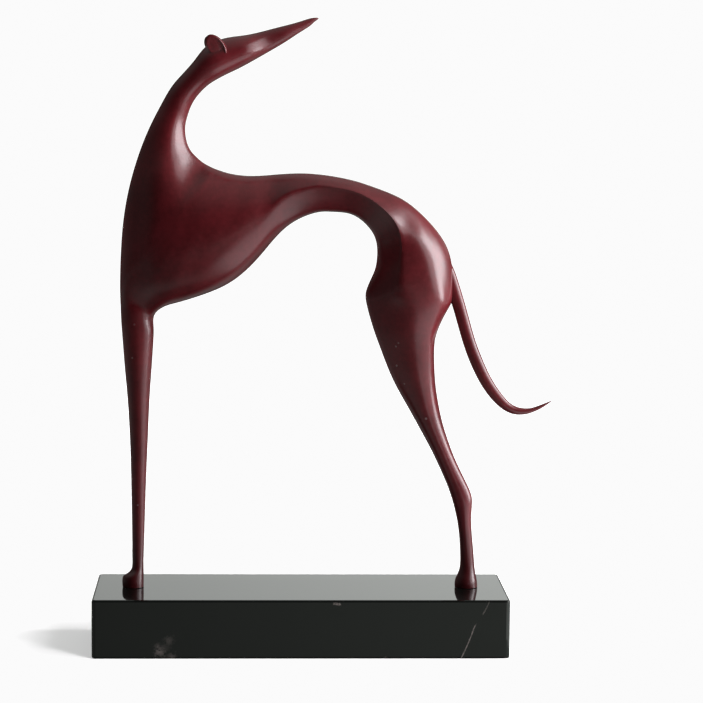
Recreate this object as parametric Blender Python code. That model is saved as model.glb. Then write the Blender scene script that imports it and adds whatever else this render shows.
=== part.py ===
"""Hound figurine on a marble plinth: one cast figure standing on a plain slab.

The figure stands side on, its head turned back over its own back. It is lofted through stations, as a
boat is through its frames. Each station is a closed section between the outer edge (forehead, nape, chest,
belly, front of the hind leg) and the inner edge (jaw, throat, back, rump, rear of the hind leg).
Run it with: blender --background --python part.py
"""

import math

import bmesh
import bpy
from mathutils import Vector

# Driving sizes, in metres
PLINTH_LENGTH = 0.2513
PLINTH_DEPTH = 0.0815
PLINTH_HEIGHT = 0.03575
PLINTH_CORNER = 0.0023
PLINTH_ARRIS = 0.0012
FIGURE_HEIGHT = 0.3472
SEAT_GAP = 0.0003

# The figure's stations are drawn in millimetres for this height, from the middle of its seat on the plinth
DRAWN_HEIGHT = 347.5

# Each section has this many points: the two edges, and five on each side, with the ridge in the middle
RING = 12
RIDGE_COLUMN = RING // 4

# Stations of head, neck, trunk and hind leg: outer edge x, z; inner edge x, z; half breadth
BODY = (
    (8.3, 347.4, 8.8, 346.3, 0.7),
    (6.0, 347.3, 6.8, 344.9, 1.3),
    (2.4, 346.5, 3.5, 342.0, 1.9),
    (-5.1, 344.1, -3.0, 337.8, 2.9),
    (-14.4, 341.6, -11.6, 332.1, 4.1),
    (-24.8, 338.8, -21.5, 326.2, 5.3),
    (-35.0, 336.5, -30.5, 321.0, 9.9),
    (-45.2, 335.0, -38.5, 316.6, 10.6),
    (-54.0, 332.3, -45.5, 313.2, 10.6),
    (-60.3, 328.0, -52.3, 309.6, 10.0),
    (-66.1, 320.6, -57.7, 306.0, 9.0),
    (-73.3, 312.4, -62.6, 301.2, 8.0),
    (-79.9, 304.4, -66.8, 295.2, 7.8),
    (-85.9, 293.9, -69.4, 288.6, 7.8),
    (-91.5, 283.0, -71.0, 282.0, 8.8),
    (-96.9, 270.4, -70.8, 275.5, 10.2),
    (-101.4, 257.2, -69.4, 270.2, 12.4),
    (-105.1, 243.3, -67.3, 266.4, 15.0),
    (-108.0, 227.0, -65.0, 263.9, 17.2),
    (-109.7, 208.0, -62.2, 261.3, 19.0),
    (-110.4, 186.0, -59.4, 259.3, 20.6),
    (-105.0, 175.0, -57.0, 258.0, 21.4),
    (-99.5, 171.5, -54.6, 256.8, 22.0),
    (-93.0, 170.5, -52.0, 255.8, 22.4),
    (-84.0, 172.3, -48.8, 254.7, 22.7),
    (-74.9, 175.2, -45.3, 253.7, 22.8),
    (-62.5, 179.1, -41.5, 252.9, 22.6),
    (-48.0, 184.9, -35.5, 252.2, 21.5),
    (-35.4, 193.6, -27.5, 252.1, 19.6),
    (-24.5, 205.0, -18.5, 252.8, 17.4),
    (-14.6, 216.7, -9.5, 253.5, 15.6),
    (-4.0, 225.2, 0.0, 253.8, 14.5),
    (8.3, 230.1, 9.0, 253.3, 13.9),
    (17.4, 230.6, 18.0, 252.2, 14.0),
    (26.5, 229.9, 31.0, 249.6, 14.8),
    (33.8, 226.9, 45.0, 245.1, 16.0),
    (39.8, 221.6, 59.0, 239.3, 17.4),
    (43.9, 215.1, 70.5, 231.0, 18.6),
    (45.4, 207.5, 81.5, 219.6, 19.5),
    (45.0, 200.1, 88.6, 207.8, 20.0),
    (43.3, 193.5, 91.3, 195.5, 20.0),
    (39.4, 184.4, 91.8, 184.0, 19.4),
    (38.6, 178.1, 91.0, 176.0, 18.6),
    (40.1, 170.8, 87.4, 169.0, 17.6),
    (43.8, 158.6, 82.6, 158.3, 15.8),
    (48.3, 146.5, 80.8, 148.3, 14.0),
    (53.0, 134.5, 81.0, 136.5, 12.4),
    (58.5, 123.0, 81.8, 126.0, 10.8),
    (64.8, 112.0, 83.3, 116.0, 9.4),
    (71.5, 100.0, 86.0, 103.5, 8.0),
    (78.5, 87.3, 90.0, 90.8, 6.6),
    (84.5, 75.2, 94.3, 79.8, 5.6),
    (90.0, 62.7, 99.0, 69.8, 5.0),
    (93.2, 53.5, 103.6, 60.3, 4.9),
    (95.0, 46.8, 105.3, 53.0, 4.7),
    (96.7, 38.2, 104.9, 44.0, 4.4),
    (97.7, 30.0, 105.4, 33.0, 4.2),
    (98.3, 20.0, 106.5, 21.5, 4.3),
    (98.0, 11.5, 107.4, 12.0, 5.0),
    (96.2, 6.5, 108.2, 7.0, 6.2),
    (95.2, 3.0, 109.0, 3.0, 7.0),
    (95.2, 0.0, 109.2, 0.0, 6.8),
)

# How the section changes along the body: station, then for the five points of each side the share of the way
# from the outer edge to the inner one and the share of the half breadth, and last the sharpness of the ridge,
# which runs along the middle one of the five
BODY_SECTIONS = (
    (0, 0.07, 0.50, 0.25, 0.87, 0.50, 1.00, 0.75, 0.90, 0.93, 0.55, 0.00),
    (9, 0.07, 0.50, 0.25, 0.87, 0.50, 1.00, 0.75, 0.90, 0.93, 0.55, 0.00),
    (12, 0.06, 0.45, 0.22, 0.82, 0.46, 1.00, 0.69, 0.92, 0.88, 0.56, 0.00),
    (14, 0.05, 0.42, 0.22, 0.80, 0.46, 1.00, 0.68, 0.93, 0.87, 0.56, 0.00),
    (15, 0.05, 0.40, 0.22, 0.76, 0.44, 1.00, 0.68, 0.93, 0.87, 0.54, 0.00),
    (16, 0.05, 0.36, 0.22, 0.72, 0.45, 1.00, 0.69, 0.91, 0.88, 0.51, 0.05),
    (17, 0.05, 0.34, 0.22, 0.68, 0.45, 1.00, 0.70, 0.89, 0.89, 0.48, 0.10),
    (18, 0.05, 0.35, 0.23, 0.68, 0.46, 1.00, 0.70, 0.89, 0.89, 0.46, 0.15),
    (19, 0.06, 0.39, 0.24, 0.71, 0.46, 1.00, 0.70, 0.92, 0.89, 0.47, 0.15),
    (20, 0.07, 0.44, 0.24, 0.73, 0.43, 0.97, 0.70, 0.96, 0.90, 0.50, 0.15),
    (21, 0.05, 0.43, 0.18, 0.68, 0.36, 0.94, 0.68, 1.00, 0.91, 0.55, 0.05),
    (22, 0.04, 0.42, 0.14, 0.67, 0.31, 0.94, 0.66, 1.00, 0.92, 0.57, 0.00),
    (24, 0.03, 0.47, 0.12, 0.79, 0.29, 0.98, 0.65, 1.00, 0.92, 0.58, 0.00),
    (26, 0.03, 0.52, 0.12, 0.83, 0.30, 0.99, 0.65, 0.98, 0.92, 0.58, 0.00),
    (28, 0.05, 0.42, 0.18, 0.80, 0.48, 1.00, 0.72, 0.93, 0.92, 0.55, 0.10),
    (29, 0.06, 0.44, 0.22, 0.80, 0.53, 1.00, 0.75, 0.84, 0.92, 0.48, 0.30),
    (30, 0.06, 0.45, 0.28, 0.80, 0.63, 1.00, 0.80, 0.80, 0.94, 0.45, 0.40),
    (32, 0.06, 0.45, 0.34, 0.80, 0.72, 1.00, 0.86, 0.74, 0.95, 0.42, 0.50),
    (34, 0.06, 0.42, 0.34, 0.72, 0.71, 1.00, 0.86, 0.70, 0.95, 0.38, 0.60),
    (35, 0.05, 0.38, 0.30, 0.66, 0.65, 1.00, 0.82, 0.68, 0.94, 0.36, 0.75),
    (36, 0.04, 0.34, 0.26, 0.62, 0.55, 1.00, 0.76, 0.68, 0.93, 0.36, 0.80),
    (37, 0.04, 0.32, 0.22, 0.60, 0.48, 1.00, 0.72, 0.70, 0.91, 0.38, 0.80),
    (38, 0.03, 0.30, 0.18, 0.60, 0.38, 1.00, 0.65, 0.90, 0.85, 0.56, 0.75),
    (39, 0.03, 0.30, 0.15, 0.62, 0.32, 1.00, 0.63, 0.94, 0.84, 0.62, 0.65),
    (40, 0.03, 0.29, 0.15, 0.62, 0.33, 1.00, 0.66, 0.94, 0.86, 0.61, 0.50),
    (41, 0.03, 0.25, 0.17, 0.60, 0.38, 1.00, 0.73, 0.93, 0.90, 0.58, 0.30),
    (43, 0.04, 0.28, 0.22, 0.65, 0.49, 1.00, 0.80, 0.91, 0.94, 0.56, 0.10),
    (45, 0.05, 0.34, 0.24, 0.72, 0.53, 1.00, 0.84, 0.90, 0.96, 0.54, 0.00),
    (47, 0.05, 0.38, 0.25, 0.76, 0.53, 1.00, 0.80, 0.89, 0.95, 0.52, 0.00),
    (49, 0.07, 0.46, 0.25, 0.84, 0.50, 1.00, 0.75, 0.87, 0.93, 0.50, 0.00),
    (61, 0.07, 0.50, 0.25, 0.87, 0.50, 1.00, 0.75, 0.87, 0.93, 0.50, 0.00),
)

# The head, all before this station, is turned a little to the far side
HEAD_STATION = 9
HEAD_TURN = math.radians(10)

# The front leg leaves the chest between these two body stations, one column to each side of the outer edge
LEG_FIRST_STATION = 20
LEG_LAST_STATION = 24

# Stations of the front leg: front edge x, z; rear edge x, z; half breadth
FRONT_LEG = (
    (-110.1, 174.5, -89.6, 167.0, 9.0),
    (-109.7, 164.0, -90.0, 159.5, 8.9),
    (-108.8, 151.5, -90.3, 149.0, 8.7),
    (-107.4, 133.5, -91.4, 132.5, 8.2),
    (-105.8, 115.0, -92.5, 115.0, 7.2),
    (-104.7, 96.5, -93.3, 96.5, 6.0),
    (-104.0, 78.0, -94.1, 78.0, 5.0),
    (-103.5, 54.0, -95.0, 54.0, 4.3),
    (-103.2, 34.0, -95.6, 34.0, 3.9),
    (-103.1, 19.0, -96.1, 19.0, 3.8),
    (-103.4, 11.5, -96.2, 12.0, 4.2),
    (-106.0, 8.2, -96.1, 9.0, 5.4),
    (-108.7, 6.2, -96.0, 5.5, 6.3),
    (-109.2, 2.5, -96.0, 2.5, 6.6),
    (-109.0, 0.0, -96.0, 0.0, 6.4),
)

# Stations of the tail: inner edge x, z; outer edge x, z; half breadth
TAIL = (
    (81.0, 206.0, 85.0, 208.0, 2.4),
    (84.2, 196.5, 90.8, 199.3, 3.2),
    (87.4, 185.5, 95.4, 187.4, 3.6),
    (91.2, 174.5, 98.9, 176.4, 3.7),
    (94.7, 163.0, 102.2, 165.0, 3.7),
    (98.7, 149.9, 105.9, 152.7, 3.6),
    (103.2, 138.2, 110.2, 141.7, 3.5),
    (109.0, 126.7, 115.2, 131.0, 3.3),
    (115.6, 117.4, 120.6, 122.4, 3.0),
    (122.4, 110.9, 126.2, 115.6, 2.7),
    (129.2, 107.5, 131.2, 112.2, 2.3),
    (136.3, 107.1, 136.5, 111.0, 2.0),
    (142.7, 108.9, 141.7, 111.5, 1.6),
    (148.3, 111.8, 147.5, 113.5, 1.1),
    (152.7, 114.9, 152.5, 115.5, 0.4),
)
TAIL_RING = 8

# Ears: middle of the near ear's flap, its half length and half width, and how far the flap is turned
EAR_MIDDLE = (-52.4, -8.8, 329.1)
EAR_HALF_LENGTH = 8.5
EAR_HALF_WIDTH = 5.1
EAR_TURN = math.radians(-52)
EAR_LEAN = math.radians(-13)
EAR_SPREAD = math.tan(math.radians(8))
FAR_EAR_OFFSET = (-1.0, -0.3)
EAR_RING = 8

# Rings of an ear from its face round the rim to its back: share of the half length, height of the face in mm;
# the rim rises most at this angle round the flap from its lower end
EAR_FACE = ((0.30, 0.5), (0.62, 0.4), (0.86, 0.4), (1.00, -0.3), (0.92, -1.6), (0.50, -4.0))
EAR_RIM_RING = 2
EAR_RIM_RISE = 1.3
EAR_RIM_ANGLE = math.radians(45)

SOLE_CREASE = 1.0
SETTLE_ROUNDS = 10
SMOOTH_LEVELS = 1
CORNER_SEGMENTS = 4
ARRIS_SEGMENTS = 2

DOG_COLOUR = (0.150, 0.015, 0.018, 1.0)
DOG_ROUGHNESS = 0.34
PLINTH_COLOUR = (0.011, 0.012, 0.011, 1.0)
PLINTH_ROUGHNESS = 0.08


def clear_scene():
    """Removes whatever the file held before."""
    for scene_object in list(bpy.data.objects):
        bpy.data.objects.remove(scene_object, do_unlink=True)


def principled(name, colour, roughness):
    """A plain surface with one colour and gloss; neither the patina nor the stone is bare metal."""
    material = bpy.data.materials.new(name)
    material.use_nodes = True
    shader = material.node_tree.nodes["Principled BSDF"]
    shader.inputs["Base Color"].default_value = colour
    shader.inputs["Roughness"].default_value = roughness
    shader.inputs["Metallic"].default_value = 0.0
    return material


def on_figure(x, y, z):
    """A point drawn in millimetres on the figure, in metres on the plinth."""
    scale = FIGURE_HEIGHT / DRAWN_HEIGHT
    return Vector((x, y, z)) * scale + Vector((0, 0, PLINTH_HEIGHT + SEAT_GAP))


def mix(first, last, share):
    return first + (last - first) * share


def keyed(keys, station):
    """The values between two keyed stations, mixed evenly."""
    for before, after in zip(keys, keys[1:]):
        if station <= after[0]:
            share = (station - before[0]) / (after[0] - before[0])
            return [mix(a, b, share) for a, b in zip(before[1:], after[1:])]
    return list(keys[-1][1:])


def oval(ring_size):
    """Points on one side of an oval: share of the way between the edges, share of the half breadth."""
    step = math.tau / ring_size
    return [((1 - math.cos(step * column)) / 2, math.sin(step * column)) for column in range(1, ring_size // 2)]


def section(station, side, aside=0.0):
    """One closed section: from the outer edge round the far side to the inner edge, and back round the near."""
    outer_x, outer_z, inner_x, inner_z, half_breadth = station
    far = [(outer_x, 0.0, outer_z)]
    for along, across in side:
        far.append((mix(outer_x, inner_x, along), half_breadth * across, mix(outer_z, inner_z, along)))
    far.append((inner_x, 0.0, inner_z))
    near = [(x, -y, z) for x, y, z in far[-2:0:-1]]
    return [on_figure(x, y + aside, z) for x, y, z in far + near]


def bridge(mesh, first, second, skip=()):
    """Faces between two rings of vertices, but for the columns in skip."""
    size = len(first)
    for column in range(size):
        after = (column + 1) % size
        if column not in skip:
            mesh.faces.new((first[column], first[after], second[after], second[column]))


def add_ring(mesh, points):
    return [mesh.verts.new(point) for point in points]


def crease(mesh, rings, column, sharpness):
    """Sharpens the edge that runs along one column, by the value given for each ring."""
    layer = mesh.edges.layers.float["crease_edge"]
    for index in range(len(rings) - 1):
        edge = mesh.edges.get((rings[index][column], rings[index + 1][column]))
        edge[layer] = sharpness[index]


def crease_rim(mesh, ring):
    layer = mesh.edges.layers.float["crease_edge"]
    for index, vertex in enumerate(ring):
        mesh.edges.get((vertex, ring[(index + 1) % len(ring)]))[layer] = SOLE_CREASE


def body_rings(mesh):
    """Rings of the body; the edge points that the front leg takes away are left out as None."""
    rings, sharpness = [], []
    for index, station in enumerate(BODY):
        *shares, sharp = keyed(BODY_SECTIONS, index)
        aside = math.tan(HEAD_TURN) * (station[0] - BODY[HEAD_STATION][0]) if index < HEAD_STATION else 0.0
        points = section(station, list(zip(shares[0::2], shares[1::2])), aside)
        ring = []
        for column, point in enumerate(points):
            inside = LEG_FIRST_STATION < index < LEG_LAST_STATION and column == 0
            ring.append(None if inside else mesh.verts.new(point))
        rings.append(ring)
        sharpness.append(sharp)
    return rings, sharpness


def leg_opening(rings):
    """The twelve vertices round the hole that the front leg grows from, front edge first."""
    first, last = rings[LEG_FIRST_STATION], rings[LEG_LAST_STATION]
    between = rings[LEG_FIRST_STATION + 1:LEG_LAST_STATION]
    far = [first[1]] + [ring[1] for ring in between] + [last[1]]
    near = [last[-1]] + [ring[-1] for ring in reversed(between)] + [first[-1]]
    return [first[0]] + far + [last[0]] + near


def dog_mesh():
    """The cage of the figure without tail and ears."""
    mesh = bmesh.new()
    mesh.edges.layers.float.new("crease_edge")
    rings, sharpness = body_rings(mesh)
    for index in range(len(rings) - 1):
        leg = LEG_FIRST_STATION <= index < LEG_LAST_STATION
        bridge(mesh, rings[index], rings[index + 1], (0, RING - 1) if leg else ())
    leg_rings = [leg_opening(rings)] + [add_ring(mesh, section(s, oval(RING))) for s in FRONT_LEG]
    for first, second in zip(leg_rings, leg_rings[1:]):
        bridge(mesh, first, second)
    for cap in (rings[0], rings[-1], leg_rings[-1]):
        mesh.faces.new(cap)
    for column in (RIDGE_COLUMN, RING - RIDGE_COLUMN):
        crease(mesh, rings, column, sharpness)
    for sole in (rings[-1], leg_rings[-1]):
        crease_rim(mesh, sole)
    return mesh


def tube_mesh(rings):
    """A closed tube through rings of points, with a cap at each end."""
    mesh = bmesh.new()
    mesh.edges.layers.float.new("crease_edge")
    rows = [add_ring(mesh, points) for points in rings]
    for first, second in zip(rows, rows[1:]):
        bridge(mesh, first, second)
    mesh.faces.new(rows[0])
    mesh.faces.new(rows[-1])
    return mesh


def ear_rings(side, offset):
    """Rings of one ear's flap: dished in front, with a thin rim, and its back sunk into the skull."""
    middle = Vector((EAR_MIDDLE[0] + offset[0], 0, EAR_MIDDLE[2] + offset[1]))
    rings = []
    for number, (share, height) in enumerate(EAR_FACE):
        points = []
        for index in range(EAR_RING):
            angle = index * math.tau / EAR_RING
            long = share * EAR_HALF_LENGTH * math.cos(angle)
            wide = share * EAR_HALF_WIDTH * math.sin(angle)
            rise = height
            if number == EAR_RIM_RING:
                rise += EAR_RIM_RISE * max(0.0, math.cos(angle - EAR_RIM_ANGLE)) ** 2
            x = long * math.cos(EAR_TURN) - wide * math.sin(EAR_TURN)
            z = long * math.sin(EAR_TURN) + wide * math.cos(EAR_TURN)
            out = rise * math.cos(EAR_LEAN) - z * math.sin(EAR_LEAN)
            up = rise * math.sin(EAR_LEAN) + z * math.cos(EAR_LEAN)
            y = side * (-EAR_MIDDLE[1] + out - x * EAR_SPREAD)
            points.append(on_figure(middle.x + x, y, middle.z + up))
        rings.append(points)
    return rings


def add_object(name, mesh):
    """An object in the scene from a finished bmesh, its faces turned outward."""
    bmesh.ops.recalc_face_normals(mesh, faces=mesh.faces)
    data = bpy.data.meshes.new(name)
    mesh.to_mesh(data)
    mesh.free()
    data.shade_smooth()
    scene_object = bpy.data.objects.new(name, data)
    bpy.context.scene.collection.objects.link(scene_object)
    return scene_object


def smooth(cage):
    """Subdivides a cage, moved first so that the smooth surface passes through the drawn points."""
    modifier = cage.modifiers.new("Smooth", "SUBSURF")
    modifier.levels = SMOOTH_LEVELS
    modifier.render_levels = SMOOTH_LEVELS
    modifier.use_limit_surface = True
    drawn = [vertex.co.copy() for vertex in cage.data.vertices]
    for _ in range(SETTLE_ROUNDS):
        evaluated = cage.evaluated_get(bpy.context.evaluated_depsgraph_get())
        surface = evaluated.to_mesh()
        misses = [point - surface.vertices[index].co for index, point in enumerate(drawn)]
        evaluated.to_mesh_clear()
        for vertex, miss in zip(cage.data.vertices, misses):
            vertex.co += miss
        cage.data.update()
    return cage


def guide(scene_object):
    """Marks a shape that is only there to be joined to another."""
    scene_object.hide_render = True
    scene_object.display_type = "WIRE"
    return scene_object


def build_dog():
    dog = smooth(add_object("dog", dog_mesh()))
    tail = smooth(add_object("tail_shape", tube_mesh([section(s, oval(TAIL_RING)) for s in TAIL])))
    near_ear = smooth(add_object("near_ear_shape", tube_mesh(ear_rings(-1, (0.0, 0.0)))))
    far_ear = smooth(add_object("far_ear_shape", tube_mesh(ear_rings(1, FAR_EAR_OFFSET))))
    for shape in (tail, near_ear, far_ear):
        union = dog.modifiers.new("Join " + shape.name, "BOOLEAN")
        union.operation = "UNION"
        union.solver = "EXACT"
        union.object = guide(shape)
    dog.data.materials.append(principled("wine red patinated bronze", DOG_COLOUR, DOG_ROUGHNESS))
    return dog


def build_plinth():
    """The slab: its four upright edges rounded first, then the arrises round its top and its underside."""
    mesh = bmesh.new()
    bmesh.ops.create_cube(mesh, size=1.0)
    weight = mesh.edges.layers.float.new("bevel_weight_edge")
    for edge in mesh.edges:
        first, second = edge.verts
        edge[weight] = float(first.co.x == second.co.x and first.co.y == second.co.y)
    bmesh.ops.scale(mesh, verts=mesh.verts, vec=(PLINTH_LENGTH, PLINTH_DEPTH, PLINTH_HEIGHT))
    bmesh.ops.translate(mesh, verts=mesh.verts, vec=(0, 0, PLINTH_HEIGHT / 2))
    plinth = add_object("plinth", mesh)
    corners = plinth.modifiers.new("Rounded corners", "BEVEL")
    corners.width = PLINTH_CORNER
    corners.segments = CORNER_SEGMENTS
    corners.limit_method = "WEIGHT"
    arris = plinth.modifiers.new("Eased arrises", "BEVEL")
    arris.width = PLINTH_ARRIS
    arris.segments = ARRIS_SEGMENTS
    arris.limit_method = "ANGLE"
    plinth.data.materials.append(principled("black marble", PLINTH_COLOUR, PLINTH_ROUGHNESS))
    return plinth


def main():
    clear_scene()
    build_plinth()
    build_dog()


main()
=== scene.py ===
"""Looks of the hound figurine: the cast dog in wine-red patina, its black marble plinth and a soft studio.

Laid out as a Blender add-on: each operator makes one piece or the stage, and main() calls them in order.
"""

import math

import bmesh
import bpy
from bpy.props import FloatProperty, FloatVectorProperty, IntProperty, PointerProperty
from mathutils import Matrix, Vector


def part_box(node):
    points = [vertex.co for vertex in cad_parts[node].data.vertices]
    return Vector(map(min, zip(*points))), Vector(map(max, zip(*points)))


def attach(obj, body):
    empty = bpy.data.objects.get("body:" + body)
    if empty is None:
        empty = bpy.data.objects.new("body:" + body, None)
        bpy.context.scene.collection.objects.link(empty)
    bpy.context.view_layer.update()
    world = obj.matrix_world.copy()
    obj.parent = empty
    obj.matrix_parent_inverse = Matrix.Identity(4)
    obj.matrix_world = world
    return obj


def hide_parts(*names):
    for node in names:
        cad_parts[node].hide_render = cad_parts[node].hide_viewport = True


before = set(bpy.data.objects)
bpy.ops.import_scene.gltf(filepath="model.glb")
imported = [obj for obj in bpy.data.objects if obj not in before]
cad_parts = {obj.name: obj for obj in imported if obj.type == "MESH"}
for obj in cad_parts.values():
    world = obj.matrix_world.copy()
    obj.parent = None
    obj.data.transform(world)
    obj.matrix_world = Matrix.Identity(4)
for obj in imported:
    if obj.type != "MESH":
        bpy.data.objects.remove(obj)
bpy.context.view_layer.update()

bl_info = {
    "name": "Hound figurine",
    "version": (1, 0, 0),
    "blender": (4, 5, 0),
    "location": "3D View > Sidebar > Hound",
    "description": "Casts the hound, polishes its marble plinth and sets a soft studio round them",
    "category": "Add Mesh",
}

DOG_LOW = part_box("dog")[0]
PLINTH_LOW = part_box("plinth")[0]

# The dog's stations are drawn in millimetres for this height, from the middle of its seat on the plinth
DRAWN_HEIGHT = 347.5

# Each section has this many points: the two edges, and five on each side, with the ridge in the middle
RING = 12
RIDGE_COLUMN = RING // 4

# Stations of head, neck, trunk and hind leg: outer edge x, z; inner edge x, z; half breadth
BODY = (
    (8.3, 347.4, 8.8, 346.3, 0.7),
    (6.0, 347.3, 6.8, 344.9, 1.3),
    (2.4, 346.5, 3.5, 342.0, 1.9),
    (-5.1, 344.1, -3.0, 337.8, 2.9),
    (-14.4, 341.6, -11.6, 332.1, 4.1),
    (-24.8, 338.8, -21.5, 326.2, 5.3),
    (-35.0, 336.5, -30.5, 321.0, 9.9),
    (-45.2, 335.0, -38.5, 316.6, 10.6),
    (-54.0, 332.3, -45.5, 313.2, 10.6),
    (-60.3, 328.0, -52.3, 309.6, 10.0),
    (-66.1, 320.6, -57.7, 306.0, 9.0),
    (-73.3, 312.4, -62.6, 301.2, 8.0),
    (-79.9, 304.4, -66.8, 295.2, 7.8),
    (-85.9, 293.9, -69.4, 288.6, 7.8),
    (-91.5, 283.0, -71.0, 282.0, 8.8),
    (-96.9, 270.4, -70.8, 275.5, 10.2),
    (-101.4, 257.2, -69.4, 270.2, 12.4),
    (-105.1, 243.3, -67.3, 266.4, 15.0),
    (-108.0, 227.0, -65.0, 263.9, 17.2),
    (-109.7, 208.0, -62.2, 261.3, 19.0),
    (-110.4, 186.0, -59.4, 259.3, 20.6),
    (-105.0, 175.0, -57.0, 258.0, 21.4),
    (-99.5, 171.5, -54.6, 256.8, 22.0),
    (-93.0, 170.5, -52.0, 255.8, 22.4),
    (-84.0, 172.3, -48.8, 254.7, 22.7),
    (-74.9, 175.2, -45.3, 253.7, 22.8),
    (-62.5, 179.1, -41.5, 252.9, 22.6),
    (-48.0, 184.9, -35.5, 252.2, 21.5),
    (-35.4, 193.6, -27.5, 252.1, 19.6),
    (-24.5, 205.0, -18.5, 252.8, 17.4),
    (-14.6, 216.7, -9.5, 253.5, 15.6),
    (-4.0, 225.2, 0.0, 253.8, 14.5),
    (8.3, 230.1, 9.0, 253.3, 13.9),
    (17.4, 230.6, 18.0, 252.2, 14.0),
    (26.5, 229.9, 31.0, 249.6, 14.8),
    (33.8, 226.9, 45.0, 245.1, 16.0),
    (39.8, 221.6, 59.0, 239.3, 17.4),
    (43.9, 215.1, 70.5, 231.0, 18.6),
    (45.4, 207.5, 81.5, 219.6, 19.5),
    (45.0, 200.1, 88.6, 207.8, 20.0),
    (43.3, 193.5, 91.3, 195.5, 20.0),
    (39.4, 184.4, 91.8, 184.0, 19.4),
    (38.6, 178.1, 91.0, 176.0, 18.6),
    (40.1, 170.8, 87.4, 169.0, 17.6),
    (43.8, 158.6, 82.6, 158.3, 15.8),
    (48.3, 146.5, 80.8, 148.3, 14.0),
    (53.0, 134.5, 81.0, 136.5, 12.4),
    (58.5, 123.0, 81.8, 126.0, 10.8),
    (64.8, 112.0, 83.3, 116.0, 9.4),
    (71.5, 100.0, 86.0, 103.5, 8.0),
    (78.5, 87.3, 90.0, 90.8, 6.6),
    (84.5, 75.2, 94.3, 79.8, 5.6),
    (90.0, 62.7, 99.0, 69.8, 5.0),
    (93.2, 53.5, 103.6, 60.3, 4.9),
    (95.0, 46.8, 105.3, 53.0, 4.7),
    (96.7, 38.2, 104.9, 44.0, 4.4),
    (97.7, 30.0, 105.4, 33.0, 4.2),
    (98.3, 20.0, 106.5, 21.5, 4.3),
    (98.0, 11.5, 107.4, 12.0, 5.0),
    (96.2, 6.5, 108.2, 7.0, 6.2),
    (95.2, 3.0, 109.0, 3.0, 7.0),
    (95.2, 0.0, 109.2, 0.0, 6.8),
)

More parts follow.
